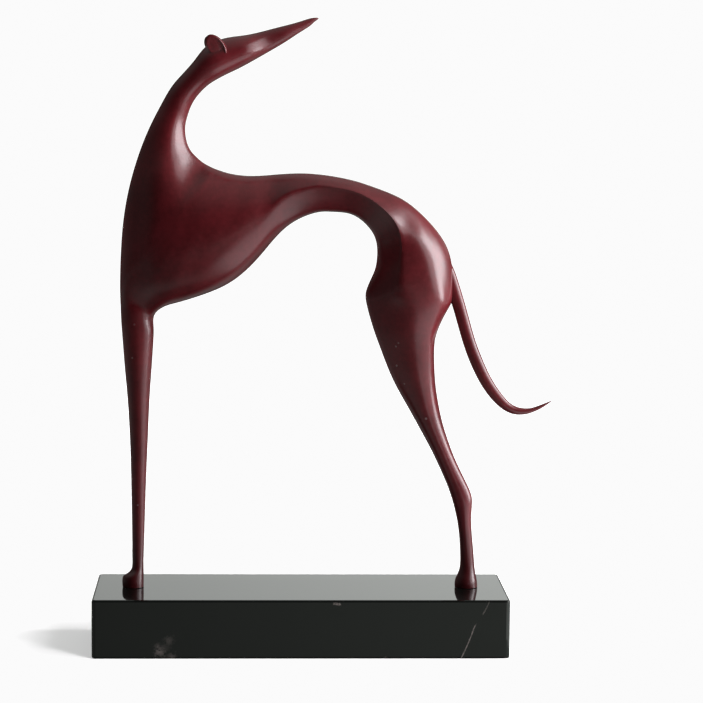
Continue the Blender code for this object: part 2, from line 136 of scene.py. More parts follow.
# How the section changes along the body: station, then for the five points of each side the share of the
# way from the outer edge to the inner one and the share of the half breadth, and last the sharpness of the
# ridge, which runs along the middle one of the five
BODY_SECTIONS = (
    (0, 0.07, 0.50, 0.25, 0.87, 0.50, 1.00, 0.75, 0.90, 0.93, 0.55, 0.00),
    (9, 0.07, 0.50, 0.25, 0.87, 0.50, 1.00, 0.75, 0.90, 0.93, 0.55, 0.00),
    (12, 0.06, 0.45, 0.22, 0.82, 0.46, 1.00, 0.69, 0.92, 0.88, 0.56, 0.00),
    (14, 0.05, 0.42, 0.22, 0.80, 0.46, 1.00, 0.68, 0.93, 0.87, 0.56, 0.00),
    (15, 0.05, 0.40, 0.22, 0.76, 0.44, 1.00, 0.68, 0.93, 0.87, 0.54, 0.00),
    (16, 0.05, 0.36, 0.22, 0.72, 0.45, 1.00, 0.69, 0.91, 0.88, 0.51, 0.05),
    (17, 0.05, 0.34, 0.22, 0.68, 0.45, 1.00, 0.70, 0.89, 0.89, 0.48, 0.10),
    (18, 0.05, 0.35, 0.23, 0.68, 0.46, 1.00, 0.70, 0.89, 0.89, 0.46, 0.15),
    (19, 0.06, 0.39, 0.24, 0.71, 0.46, 1.00, 0.70, 0.92, 0.89, 0.47, 0.15),
    (20, 0.07, 0.44, 0.24, 0.73, 0.43, 0.97, 0.70, 0.96, 0.90, 0.50, 0.15),
    (21, 0.05, 0.43, 0.18, 0.68, 0.36, 0.94, 0.68, 1.00, 0.91, 0.55, 0.05),
    (22, 0.04, 0.42, 0.14, 0.67, 0.31, 0.94, 0.66, 1.00, 0.92, 0.57, 0.00),
    (24, 0.03, 0.47, 0.12, 0.79, 0.29, 0.98, 0.65, 1.00, 0.92, 0.58, 0.00),
    (26, 0.03, 0.52, 0.12, 0.83, 0.30, 0.99, 0.65, 0.98, 0.92, 0.58, 0.00),
    (28, 0.05, 0.42, 0.18, 0.80, 0.48, 1.00, 0.72, 0.93, 0.92, 0.55, 0.10),
    (29, 0.06, 0.44, 0.22, 0.80, 0.53, 1.00, 0.75, 0.84, 0.92, 0.48, 0.30),
    (30, 0.06, 0.45, 0.28, 0.80, 0.63, 1.00, 0.80, 0.80, 0.94, 0.45, 0.40),
    (32, 0.06, 0.45, 0.34, 0.80, 0.72, 1.00, 0.86, 0.74, 0.95, 0.42, 0.50),
    (34, 0.06, 0.42, 0.34, 0.72, 0.71, 1.00, 0.86, 0.70, 0.95, 0.38, 0.60),
    (35, 0.05, 0.38, 0.30, 0.66, 0.65, 1.00, 0.82, 0.68, 0.94, 0.36, 0.75),
    (36, 0.04, 0.34, 0.26, 0.62, 0.55, 1.00, 0.76, 0.68, 0.93, 0.36, 0.80),
    (37, 0.04, 0.32, 0.22, 0.60, 0.48, 1.00, 0.72, 0.70, 0.91, 0.38, 0.80),
    (38, 0.03, 0.30, 0.18, 0.60, 0.38, 1.00, 0.65, 0.90, 0.85, 0.56, 0.75),
    (39, 0.03, 0.30, 0.15, 0.62, 0.32, 1.00, 0.63, 0.94, 0.84, 0.62, 0.65),
    (40, 0.03, 0.29, 0.15, 0.62, 0.33, 1.00, 0.66, 0.94, 0.86, 0.61, 0.50),
    (41, 0.03, 0.25, 0.17, 0.60, 0.38, 1.00, 0.73, 0.93, 0.90, 0.58, 0.30),
    (43, 0.04, 0.28, 0.22, 0.65, 0.49, 1.00, 0.80, 0.91, 0.94, 0.56, 0.10),
    (45, 0.05, 0.34, 0.24, 0.72, 0.53, 1.00, 0.84, 0.90, 0.96, 0.54, 0.00),
    (47, 0.05, 0.38, 0.25, 0.76, 0.53, 1.00, 0.80, 0.89, 0.95, 0.52, 0.00),
    (49, 0.07, 0.46, 0.25, 0.84, 0.50, 1.00, 0.75, 0.87, 0.93, 0.50, 0.00),
    (61, 0.07, 0.50, 0.25, 0.87, 0.50, 1.00, 0.75, 0.87, 0.93, 0.50, 0.00),
)

# The head, all before this station, is turned a little to the far side
HEAD_STATION = 9
HEAD_TURN = math.radians(10)

# The front leg leaves the chest between these two body stations, one column to each side of the outer edge
LEG_FIRST_STATION = 20
LEG_LAST_STATION = 24

# Stations of the front leg: front edge x, z; rear edge x, z; half breadth
FRONT_LEG = (
    (-110.1, 174.5, -89.6, 167.0, 9.0),
    (-109.7, 164.0, -90.0, 159.5, 8.9),
    (-108.8, 151.5, -90.3, 149.0, 8.7),
    (-107.4, 133.5, -91.4, 132.5, 8.2),
    (-105.8, 115.0, -92.5, 115.0, 7.2),
    (-104.7, 96.5, -93.3, 96.5, 6.0),
    (-104.0, 78.0, -94.1, 78.0, 5.0),
    (-103.5, 54.0, -95.0, 54.0, 4.3),
    (-103.2, 34.0, -95.6, 34.0, 3.9),
    (-103.1, 19.0, -96.1, 19.0, 3.8),
    (-103.4, 11.5, -96.2, 12.0, 4.2),
    (-106.0, 8.2, -96.1, 9.0, 5.4),
    (-108.7, 6.2, -96.0, 5.5, 6.3),
    (-109.2, 2.5, -96.0, 2.5, 6.6),
    (-109.0, 0.0, -96.0, 0.0, 6.4),
)

# Stations of the tail: inner edge x, z; outer edge x, z; half breadth
TAIL = (
    (81.0, 206.0, 85.0, 208.0, 2.4),
    (84.2, 196.5, 90.8, 199.3, 3.2),
    (87.4, 185.5, 95.4, 187.4, 3.6),
    (91.2, 174.5, 98.9, 176.4, 3.7),
    (94.7, 163.0, 102.2, 165.0, 3.7),
    (98.7, 149.9, 105.9, 152.7, 3.6),
    (103.2, 138.2, 110.2, 141.7, 3.5),
    (109.0, 126.7, 115.2, 131.0, 3.3),
    (115.6, 117.4, 120.6, 122.4, 3.0),
    (122.4, 110.9, 126.2, 115.6, 2.7),
    (129.2, 107.5, 131.2, 112.2, 2.3),
    (136.3, 107.1, 136.5, 111.0, 2.0),
    (142.7, 108.9, 141.7, 111.5, 1.6),
    (148.3, 111.8, 147.5, 113.5, 1.1),
    (152.7, 114.9, 152.5, 115.5, 0.4),
)
TAIL_RING = 8

# Ears: middle of the near ear's flap, its half length and half width, and how far the flap is turned
EAR_MIDDLE = (-52.4, -8.8, 329.1)
EAR_HALF_LENGTH = 8.5
EAR_HALF_WIDTH = 5.1
EAR_TURN = math.radians(-52)
EAR_LEAN = math.radians(-13)
EAR_SPREAD = math.tan(math.radians(8))
FAR_EAR_OFFSET = (-1.0, -0.3)
EAR_RING = 8

# Rings of an ear from its face round the rim to its back: share of the half length, height of the face in
# mm; the rim rises most at this angle round the flap from its lower end
EAR_FACE = ((0.30, 0.5), (0.62, 0.4), (0.86, 0.4), (1.00, -0.3), (0.92, -1.6), (0.50, -4.0))
EAR_RIM_RING = 2
EAR_RIM_RISE = 1.3
EAR_RIM_ANGLE = math.radians(45)

# The soles' rims stay sharp, and so do edges over this angle, where tail and ears join the body
SOLE_CREASE = 1.0
JOIN_ANGLE = math.radians(35)

# How often the cage is moved until its smooth surface runs through the drawn points
SETTLE_ROUNDS = 10

# Patina: how much the fine mottling adds to the soft patches, and over what part of their noise the deep red
# turns to light red
MOTTLE_SHARE = 0.35
DEEP_TO_LIGHT = (0.50, 0.85)
PATCH_NOISE_ROUGHNESS = 0.55

# The darker feet fade out between these shares of their height, and the specks between these of theirs
FOOT_FADE = (0.5, 1.7)
SPECK_FADE = (0.8, 1.0)

# A speck is full in this share of its radius, where it hides this much of the red
SPECK_CORE = 0.4
SPECK_STRENGTH = 0.85

# Lacquer: how far its gloss strays with the mottling, and how strongly the lumps and the grain show
GLOSS_NOISE = (0.35, 0.65)
GLOSS_STRAY = (-0.03, 0.04)
LUMP_STRENGTH = 0.30
GRAIN_STRENGTH = 0.25

# Marble veins: a point the vein's plane runs through, its normal in x and z, half width, reach, strength
VEINS = (
    ((0.1006, 0.0105), (0.92, -0.39), 0.00050, 0.0125, 1.0),
    ((0.1108, 0.0310), (0.90, -0.43), 0.00055, 0.0050, 0.30),
    ((0.0212, 0.0335), (0.05, 1.00), 0.00100, 0.0026, 1.0),
)
# Pale crystal clouds in the slab's face: middle in x and z, radius, strength
CLOUDS = (
    ((-0.0848, 0.0042), 0.0050, 1.0),
    ((-0.0862, 0.0075), 0.0030, 0.55),
    ((-0.0795, 0.0112), 0.0042, 0.40),
    ((-0.0775, 0.0008), 0.0045, 0.55),
    ((-0.0826, 0.0070), 0.0062, 0.22),
    ((0.0507, 0.0008), 0.0016, 0.6),
)

# A vein is full in this share of its width and of its reach, and its plane wanders by this much either way
VEIN_CORE = 0.3
VEIN_FULL_REACH = 0.75
VEIN_WANDER = 0.0009

# A cloud fades between these shares of its radius, after the stone's grain has made its edge ragged
CLOUD_FADE = (0.9, 2.1)
CLOUD_RAGGED = 2.2

# The calcite is patchy: its least strength, and the part of the grain's noise over which it comes and goes
CALCITE_LEAST = 0.3
CALCITE_NOISE = (0.3, 0.65)
CLOUD_NOISE_ROUGHNESS = 0.6

# The floor: half its width, and the distances from the middle between which its glow rises to full
FLOOR_HALF_WIDTH = 4.0
GLOW_RISE = (0.2, 1.0)

# Lights: place, point aimed at, width and height; their powers are among the studio's settings
LIGHTS = {
    "softbox": ((1.05, -0.06, 0.54), (0.0, 0.0, 0.30), 0.54, 1.04),
    "side screen": ((0.93, -0.58, 0.62), (0.0, 0.0, 0.30), 0.52, 1.20),
    "low card": ((0.42, -0.26, 0.004), (0.42, -0.26, 1.0), 0.56, 0.48),
    "floor lamp": ((1.02, -1.22, 1.05), (0.0, 0.0, 0.0), 0.40, 0.80),
    "rear fill": ((-0.70, 1.15, 0.12), (0.0, 0.0, 0.26), 0.70, 0.20),
}
LIGHT_TINT = (1.0, 0.97, 1.0)

# The room's glow is a sum of lobes. Each lobe is a product of ramps over the direction that is looked in:
# axis, start and end on it, brightness at the start and at the end
ROOM_LOBES = {
    "wall behind": (("X", -0.35, -0.10, 0.0, 1.0), ("X", 0.15, 0.45, 1.0, 0.5),
                    ("X", -0.12, 0.16, 0.84, 1.19), ("Y", 0.35, 0.85, 0.0, 1.0),
                    ("Z", 0.06, 0.15, 0.0, 1.0), ("Z", 0.24, 0.36, 1.0, 0.08)),
    "sides": (("Y", -0.9, 0.2, 0.01, 0.08), ("Y", 0.6, 0.9, 1.0, 0.05)),
    "ceiling": (("Z", 0.3, 1.0, 0.0, 0.25),),
    "table top": (("Z", -0.62, -0.28, 0.20, 0.0), ("Z", -0.90, -0.72, 0.0, 1.0)),
    "table edge": (("Z", -0.20, -0.18, 1.0, 0.0), ("Z", -0.26, -0.23, 0.0, 1.0),
                   ("X", -0.2, 0.3, 0.22, 0.68)),
}
ROOM_TINT = (0.97, 1.0, 0.972, 1.0)
BACKDROP_BRIGHTNESS = 1.2

# Camera: place, heading to the right of +Y, tilt down, roll, and lens and sensor in millimetres
CAMERA_PLACE = (-0.0328, -1.5425, 0.3525)
CAMERA_HEADING = math.radians(2.341)
CAMERA_TILT = math.radians(6.323)
CAMERA_ROLL = math.radians(0.50)
CAMERA_LENS = 130.6
CAMERA_SENSOR = 36.0


def hex_colour(code):
    """An sRGB hex colour as the linear value that a shader takes."""
    channels = []
    for start in (1, 3, 5):
        value = int(code[start:start + 2], 16) / 255
        channels.append(value / 12.92 if value <= 0.04045 else ((value + 0.055) / 1.055) ** 2.4)
    return (*channels, 1.0)


def add_node(tree, kind, settings=None, values=None, links=None):
    """Adds one node with its settings, its plain input values and the links into its inputs."""
    node = tree.nodes.new(kind)
    for name, value in (settings or {}).items():
        setattr(node, name, value)
    for socket, value in (values or {}).items():
        node.inputs[socket].default_value = value
    for socket, source in (links or {}).items():
        tree.links.new(source, node.inputs[socket])
    return node


def combined(tree, operation, sockets):
    """Several values made one, as their product, their sum or the largest of them."""
    total = sockets[0]
    for socket in sockets[1:]:
        step = add_node(tree, "ShaderNodeMath", {"operation": operation}, links={0: total, 1: socket})
        total = step.outputs[0]
    return total


def new_material(name):
    """An empty node material, its tree and its output node."""
    material = bpy.data.materials.new(name)
    material.use_nodes = True
    material.node_tree.nodes.clear()
    output = material.node_tree.nodes.new("ShaderNodeOutputMaterial")
    return material, material.node_tree, output


def per_metre(size_mm):
    """Texture scale that gives features of this size in millimetres."""
    return 1000 / size_mm


def on_figure(x, y, z):
    """A point drawn in millimetres on the figure, in metres on the plinth."""
    scale = bpy.context.scene.hound_figure.height / DRAWN_HEIGHT
    return Vector((x, y, z)) * scale + Vector((0, 0, DOG_LOW.z))


def mix(first, last, share):
    """The value at this share of the way from first to last."""
    return first + (last - first) * share


def keyed(keys, station):
    """The values between two keyed stations, mixed evenly."""
    for before, after in zip(keys, keys[1:]):
        if station <= after[0]:
            share = (station - before[0]) / (after[0] - before[0])
            return [mix(a, b, share) for a, b in zip(before[1:], after[1:])]
    return list(keys[-1][1:])


def oval(ring_size):
    """Points on one side of an oval: share of the way between the edges, share of the half breadth."""
    angles = [math.tau / ring_size * column for column in range(1, ring_size // 2)]
    return [((1 - math.cos(angle)) / 2, math.sin(angle)) for angle in angles]


def section(station, side, aside=0.0):
    """One closed section: outer edge, far side, inner edge, and back round the near side."""
    outer_x, outer_z, inner_x, inner_z, half_breadth = station
    far = [(outer_x, 0.0, outer_z)]
    for along, across in side:
        far.append((mix(outer_x, inner_x, along), half_breadth * across, mix(outer_z, inner_z, along)))
    far.append((inner_x, 0.0, inner_z))
    near = [(x, -y, z) for x, y, z in far[-2:0:-1]]
    return [on_figure(x, y + aside, z) for x, y, z in far + near]


def bridge(mesh, first, second, skip=()):
    """Faces between two rings of vertices, but for the columns in skip."""
    size = len(first)
    for column in range(size):
        after = (column + 1) % size
        if column not in skip:
            mesh.faces.new((first[column], first[after], second[after], second[column]))


def add_ring(mesh, points):
    """New vertices of the mesh at the points of one ring."""
    return [mesh.verts.new(point) for point in points]


def crease(mesh, rings, column, sharpness):
    """Sharpens the edge that runs along one column, by the value given for each ring."""
    layer = mesh.edges.layers.float["crease_edge"]
    for index in range(len(rings) - 1):
        edge = mesh.edges.get((rings[index][column], rings[index + 1][column]))
        edge[layer] = sharpness[index]


def crease_rim(mesh, ring):
    """Sharpens the rim of a sole."""
    layer = mesh.edges.layers.float["crease_edge"]
    for index, vertex in enumerate(ring):
        mesh.edges.get((vertex, ring[(index + 1) % len(ring)]))[layer] = SOLE_CREASE


def body_rings(mesh):
    """Rings of the body; the edge points that the front leg takes away are left out as None."""
    rings, sharpness = [], []
    for index, station in enumerate(BODY):
        *shares, sharp = keyed(BODY_SECTIONS, index)
        aside = math.tan(HEAD_TURN) * (station[0] - BODY[HEAD_STATION][0]) if index < HEAD_STATION else 0.0
        points = section(station, list(zip(shares[0::2], shares[1::2])), aside)
        ring = []
        for column, point in enumerate(points):
            inside = LEG_FIRST_STATION < index < LEG_LAST_STATION and column == 0
            ring.append(None if inside else mesh.verts.new(point))
        rings.append(ring)
        sharpness.append(sharp)
    return rings, sharpness


def leg_opening(rings):
    """The twelve vertices round the hole that the front leg grows from, front edge first."""
    first, last = rings[LEG_FIRST_STATION], rings[LEG_LAST_STATION]
    between = rings[LEG_FIRST_STATION + 1:LEG_LAST_STATION]
    far = [first[1]] + [ring[1] for ring in between] + [last[1]]
    near = [last[-1]] + [ring[-1] for ring in reversed(between)] + [first[-1]]
    return [first[0]] + far + [last[0]] + near


def dog_mesh():
    """The cage of the figure without tail and ears."""
    mesh = bmesh.new()
    mesh.edges.layers.float.new("crease_edge")
    rings, sharpness = body_rings(mesh)
    for index in range(len(rings) - 1):
        leg = LEG_FIRST_STATION <= index < LEG_LAST_STATION
        bridge(mesh, rings[index], rings[index + 1], (0, RING - 1) if leg else ())
    leg_rings = [leg_opening(rings)] + [add_ring(mesh, section(s, oval(RING))) for s in FRONT_LEG]
    for first, second in zip(leg_rings, leg_rings[1:]):
        bridge(mesh, first, second)
    for cap in (rings[0], rings[-1], leg_rings[-1]):
        mesh.faces.new(cap)
    for column in (RIDGE_COLUMN, RING - RIDGE_COLUMN):
        crease(mesh, rings, column, sharpness)
    for sole in (rings[-1], leg_rings[-1]):
        crease_rim(mesh, sole)
    return mesh


def tube_mesh(rings):
    """A closed tube through rings of points, with a cap at each end."""
    mesh = bmesh.new()
    mesh.edges.layers.float.new("crease_edge")
    rows = [add_ring(mesh, points) for points in rings]
    for first, second in zip(rows, rows[1:]):
        bridge(mesh, first, second)
    mesh.faces.new(rows[0])
    mesh.faces.new(rows[-1])
    return mesh


def ear_rings(side, offset):
    """Rings of one ear's flap: dished in front, with a thin rim, and its back sunk into the skull."""
    middle = Vector((EAR_MIDDLE[0] + offset[0], 0, EAR_MIDDLE[2] + offset[1]))
    rings = []
    for number, (share, height) in enumerate(EAR_FACE):
        points = []
        for index in range(EAR_RING):
            angle = index * math.tau / EAR_RING
            long = share * EAR_HALF_LENGTH * math.cos(angle)
            wide = share * EAR_HALF_WIDTH * math.sin(angle)
            rise = height
            if number == EAR_RIM_RING:
                rise += EAR_RIM_RISE * max(0.0, math.cos(angle - EAR_RIM_ANGLE)) ** 2
            x = long * math.cos(EAR_TURN) - wide * math.sin(EAR_TURN)
            z = long * math.sin(EAR_TURN) + wide * math.cos(EAR_TURN)
            out = rise * math.cos(EAR_LEAN) - z * math.sin(EAR_LEAN)
            up = rise * math.sin(EAR_LEAN) + z * math.cos(EAR_LEAN)
            y = side * (-EAR_MIDDLE[1] + out - x * EAR_SPREAD)
            points.append(on_figure(middle.x + x, y, middle.z + up))
        rings.append(points)
    return rings


def add_object(name, mesh):
    """An object in the scene from a finished bmesh, its faces turned outward."""
    bmesh.ops.recalc_face_normals(mesh, faces=mesh.faces)
    data = bpy.data.meshes.new(name)
    mesh.to_mesh(data)
    mesh.free()
    data.shade_smooth()
    scene_object = bpy.data.objects.new(name, data)
    bpy.context.scene.collection.objects.link(scene_object)
    return scene_object


def smooth(cage):
    """Subdivides a cage, moved first so that the smooth surface passes through the drawn points."""
    modifier = cage.modifiers.new("Smooth", "SUBSURF")
    modifier.levels = 1
    modifier.use_limit_surface = True
    drawn = [vertex.co.copy() for vertex in cage.data.vertices]
    for _ in range(SETTLE_ROUNDS):
        evaluated = cage.evaluated_get(bpy.context.evaluated_depsgraph_get())
        surface = evaluated.to_mesh()
        misses = [point - surface.vertices[index].co for index, point in enumerate(drawn)]
        evaluated.to_mesh_clear()
        for vertex, miss in zip(cage.data.vertices, misses):
            vertex.co += miss
        cage.data.update()
    modifier.levels = modifier.render_levels = bpy.context.scene.hound_figure.fineness
    return cage


def cast_in_one(body, shapes):
    """Joins the shapes to the body and returns the whole as one plain mesh object."""
    for shape in shapes:
        union = body.modifiers.new("Join " + shape.name, "BOOLEAN")
        union.operation = "UNION"
        union.solver = "EXACT"
        union.object = shape
    whole = body.evaluated_get(bpy.context.evaluated_depsgraph_get())
    data = bpy.data.meshes.new_from_object(whole)
    for spent in (body, *shapes):
        bpy.data.objects.remove(spent, do_unlink=True)
    data.shade_smooth()
    data.set_sharp_from_angle(angle=JOIN_ANGLE)
    cast = bpy.data.objects.new("cast_hound", data)
    bpy.context.scene.collection.objects.link(cast)
    return cast


def patinated_bronze(look):
    """Cast bronze under a wine-red patina and satin lacquer.

    The patina is laid on by hand, so its red drifts in soft patches and is rubbed to a few pale specks on
    the legs; towards the bottom of the legs the red is made darker. The lacquer gives one broad, mild
    highlight. The sand-cast skin below breaks that highlight up very slightly; its grain of about 0.2 mm is
    drawn coarser, so that it shows.
    """
    material, tree, output = new_material("wine-red patinated bronze, satin lacquer")
    place = add_node(tree, "ShaderNodeTexCoord").outputs["Object"]
    height = add_node(tree, "ShaderNodeSeparateXYZ", links={"Vector": place}).outputs["Z"]
    mottle = add_node(tree, "ShaderNodeTexNoise",
                      values={"Scale": per_metre(look.mottle_size), "Detail": 2.0},
                      links={"Vector": place}).outputs["Fac"]
    colour = patina_colour(tree, look, place, height, mottle)
    gloss = add_node(tree, "ShaderNodeMapRange",
                     values={"From Min": GLOSS_NOISE[0], "From Max": GLOSS_NOISE[1],
                             "To Min": look.roughness + GLOSS_STRAY[0],
                             "To Max": look.roughness + GLOSS_STRAY[1]},
                     links={"Value": mottle})
    shader = add_node(tree, "ShaderNodeBsdfPrincipled",
                      values={"Metallic": 0.0, "IOR": 1.5, "Specular IOR Level": 0.18,
                              "Coat Weight": 1.0, "Coat Roughness": 0.25, "Coat IOR": 1.6},
                      links={"Base Color": colour, "Roughness": gloss.outputs[0],
                             "Normal": cast_skin(tree, look, place)})
    tree.links.new(shader.outputs[0], output.inputs["Surface"])
    return material


def patina_colour(tree, look, place, height, mottle):
    """Deep and light red in soft patches, a darker red at the feet, and pale specks on the legs."""
    patches = add_node(tree, "ShaderNodeTexNoise",
                       values={"Scale": per_metre(look.patch_size), "Detail": 3.0,
                               "Roughness": PATCH_NOISE_ROUGHNESS},
                       links={"Vector": place})
    blend = add_node(tree, "ShaderNodeMath", {"operation": "MULTIPLY_ADD"}, {1: MOTTLE_SHARE},
                     {0: mottle, 2: patches.outputs["Fac"]})
    share = add_node(tree, "ShaderNodeMapRange",
                     values={"From Min": DEEP_TO_LIGHT[0], "From Max": DEEP_TO_LIGHT[1]},
                     links={"Value": blend.outputs[0]})
    red = add_node(tree, "ShaderNodeMix", {"data_type": "RGBA"},
                   {"A": tuple(look.deep_colour), "B": tuple(look.light_colour)},
                   {"Factor": share.outputs[0]})
    # The red is made darker towards the bottom of the legs, fading out between these heights
    foot = add_node(tree, "ShaderNodeMapRange", {"interpolation_type": "SMOOTHSTEP"},
                    {"From Min": look.foot_height * FOOT_FADE[0],
                     "From Max": look.foot_height * FOOT_FADE[1], "To Min": 1.0, "To Max": 0.0},
                    {"Value": height})
    darkened_low = add_node(tree, "ShaderNodeMix", {"data_type": "RGBA"}, {"B": tuple(look.foot_colour)},
                      {"Factor": foot.outputs[0], "A": red.outputs["Result"]})
    dots = add_node(tree, "ShaderNodeTexVoronoi",
                    values={"Scale": per_metre(look.speck_spacing), "Randomness": 1.0},
                    links={"Vector": place})
    radius = look.speck_size / look.speck_spacing
    speck = add_node(tree, "ShaderNodeMapRange", {"interpolation_type": "SMOOTHSTEP"},
                     {"From Min": radius * SPECK_CORE, "From Max": radius, "To Min": SPECK_STRENGTH,
                      "To Max": 0.0},
                     {"Value": dots.outputs["Distance"]})
    handled = add_node(tree, "ShaderNodeMapRange", {"interpolation_type": "SMOOTHSTEP"},
                       {"From Min": look.speck_height * SPECK_FADE[0],
                        "From Max": look.speck_height * SPECK_FADE[1], "To Min": 1.0, "To Max": 0.0},
                       {"Value": height})
    rubbed = combined(tree, "MULTIPLY", (speck.outputs[0], handled.outputs[0]))
    return add_node(tree, "ShaderNodeMix", {"data_type": "RGBA"}, {"B": tuple(look.speck_colour)},
                    {"Factor": rubbed, "A": darkened_low.outputs["Result"]}).outputs["Result"]


def cast_skin(tree, look, place):
    """The surface's normal: hand-worked lumps, with the casting sand's grain over them."""
    normal = None
    for size, detail, strength, depth in ((look.lump_size, 1.0, LUMP_STRENGTH, look.lump_depth),
                                          (look.grain_size, 2.0, GRAIN_STRENGTH, look.grain_depth)):
        noise = add_node(tree, "ShaderNodeTexNoise", values={"Scale": per_metre(size), "Detail": detail},
                         links={"Vector": place})
        links = {"Height": noise.outputs["Fac"]}
        if normal is not None:
            links["Normal"] = normal
        bump = add_node(tree, "ShaderNodeBump", values={"Strength": strength, "Distance": depth},
                        links=links)
        normal = bump.outputs[0]
    return normal


def vein_mask(tree, place, wander, spot, normal, half_width, reach, strength):
    """How far a point lies in a vein: a thin plane through the stone, wandering a little, that dies out."""
    offset = add_node(tree, "ShaderNodeVectorMath", {"operation": "SUBTRACT"},
                      {1: (spot[0], 0.0, spot[1])}, {0: place})
    across = add_node(tree, "ShaderNodeVectorMath", {"operation": "DOT_PRODUCT"},
                      {1: (normal[0], 0.0, normal[1])}, {0: offset.outputs[0]})
    bent = combined(tree, "ADD", (across.outputs["Value"], wander))
    distance = add_node(tree, "ShaderNodeMath", {"operation": "ABSOLUTE"}, links={0: bent})
    thin = add_node(tree, "ShaderNodeMapRange", {"interpolation_type": "SMOOTHSTEP"},
                    {"From Min": half_width * VEIN_CORE, "From Max": half_width, "To Min": strength,
                     "To Max": 0.0},
                    {"Value": distance.outputs[0]})
    flat = add_node(tree, "ShaderNodeVectorMath", {"operation": "MULTIPLY"}, {1: (1.0, 0.0, 1.0)},
                    {0: offset.outputs[0]})
    length = add_node(tree, "ShaderNodeVectorMath", {"operation": "LENGTH"}, links={0: flat.outputs[0]})
    ends = add_node(tree, "ShaderNodeMapRange", {"interpolation_type": "SMOOTHSTEP"},
                    {"From Min": reach * VEIN_FULL_REACH, "From Max": reach, "To Min": 1.0, "To Max": 0.0},
                    {"Value": length.outputs["Value"]})
    return combined(tree, "MULTIPLY", (thin.outputs[0], ends.outputs[0]))


def cloud_mask(tree, place, grain, spot, radius, strength):
    """How far a point lies in a pale cloud near the slab's face, ragged at its edge."""
    offset = add_node(tree, "ShaderNodeVectorMath", {"operation": "DISTANCE"},
                      {1: (spot[0], PLINTH_LOW.y, spot[1])}, {0: place})
    ragged = add_node(tree, "ShaderNodeMath", {"operation": "MULTIPLY_ADD"}, {1: radius * CLOUD_RAGGED},
                      {0: grain, 2: offset.outputs["Value"]})
    return add_node(tree, "ShaderNodeMapRange", {"interpolation_type": "SMOOTHSTEP"},
                    {"From Min": radius * CLOUD_FADE[0], "From Max": radius * CLOUD_FADE[1],
                     "To Min": strength, "To Max": 0.0},
                    {"Value": ragged.outputs[0]}).outputs[0]


def black_marble(look):
    """Black marble, sawn and polished.

    The polish mirrors the room, pale on the top and almost black on the upright faces. Through it the stone
    shows faint grey clouds, a few pale calcite veins and crystal patches.
    """
    material, tree, output = new_material("polished black marble")
    place = add_node(tree, "ShaderNodeTexCoord").outputs["Object"]
    cloud = add_node(tree, "ShaderNodeTexNoise",
                     values={"Scale": per_metre(look.cloud_size), "Detail": 4.0,
                             "Roughness": CLOUD_NOISE_ROUGHNESS},
                     links={"Vector": place}).outputs["Fac"]
    grain = add_node(tree, "ShaderNodeTexNoise",
                     values={"Scale": per_metre(look.crystal_size), "Detail": 4.0},
                     links={"Vector": place}).outputs["Fac"]
    stone = add_node(tree, "ShaderNodeMix", {"data_type": "RGBA"},
                     {"A": tuple(look.stone_colour), "B": tuple(look.cloud_colour)}, {"Factor": cloud})
    wander = add_node(tree, "ShaderNodeMapRange", values={"To Min": -VEIN_WANDER, "To Max": VEIN_WANDER},
                      links={"Value": cloud}).outputs[0]
    masks = [vein_mask(tree, place, wander, *vein) for vein in VEINS]
    masks += [cloud_mask(tree, place, grain, *spot) for spot in CLOUDS]
    patchy = add_node(tree, "ShaderNodeMapRange",
                      values={"From Min": CALCITE_NOISE[0], "From Max": CALCITE_NOISE[1],
                              "To Min": CALCITE_LEAST},
                      links={"Value": grain})
    calcite = combined(tree, "MULTIPLY", (combined(tree, "MAXIMUM", masks), patchy.outputs[0]))
    colour = add_node(tree, "ShaderNodeMix", {"data_type": "RGBA"}, {"B": tuple(look.vein_colour)},
                      {"Factor": calcite, "A": stone.outputs["Result"]})
    shader = add_node(tree, "ShaderNodeBsdfPrincipled",
                      values={"Roughness": look.roughness, "IOR": 1.5,
                              "Specular Tint": tuple(look.polish_tint)},
                      links={"Base Color": colour.outputs["Result"]})
    tree.links.new(shader.outputs[0], output.inputs["Surface"])
    return material


def backlit_acrylic(studio):
    """White studio acrylic lit from below: it glows, so that only the deepest shade on it shows."""
    material, tree, output = new_material("backlit white acrylic")
    place = add_node(tree, "ShaderNodeTexCoord").outputs["Object"]
    distance = add_node(tree, "ShaderNodeVectorMath", {"operation": "LENGTH"}, links={0: place})
    glow = add_node(tree, "ShaderNodeMapRange", {"interpolation_type": "SMOOTHSTEP"},
                    {"From Min": GLOW_RISE[0], "From Max": GLOW_RISE[1], "To Min": studio.floor_glow,
                     "To Max": 1.0},
                    {"Value": distance.outputs["Value"]})
    shader = add_node(tree, "ShaderNodeBsdfPrincipled",
                      values={"Base Color": tuple(studio.floor_colour), "Roughness": 1.0,
                              "Specular IOR Level": 0.0, "Emission Color": hex_colour("#ffffff")},
                      links={"Emission Strength": glow.outputs[0]})
    tree.links.new(shader.outputs[0], output.inputs["Surface"])
    return material


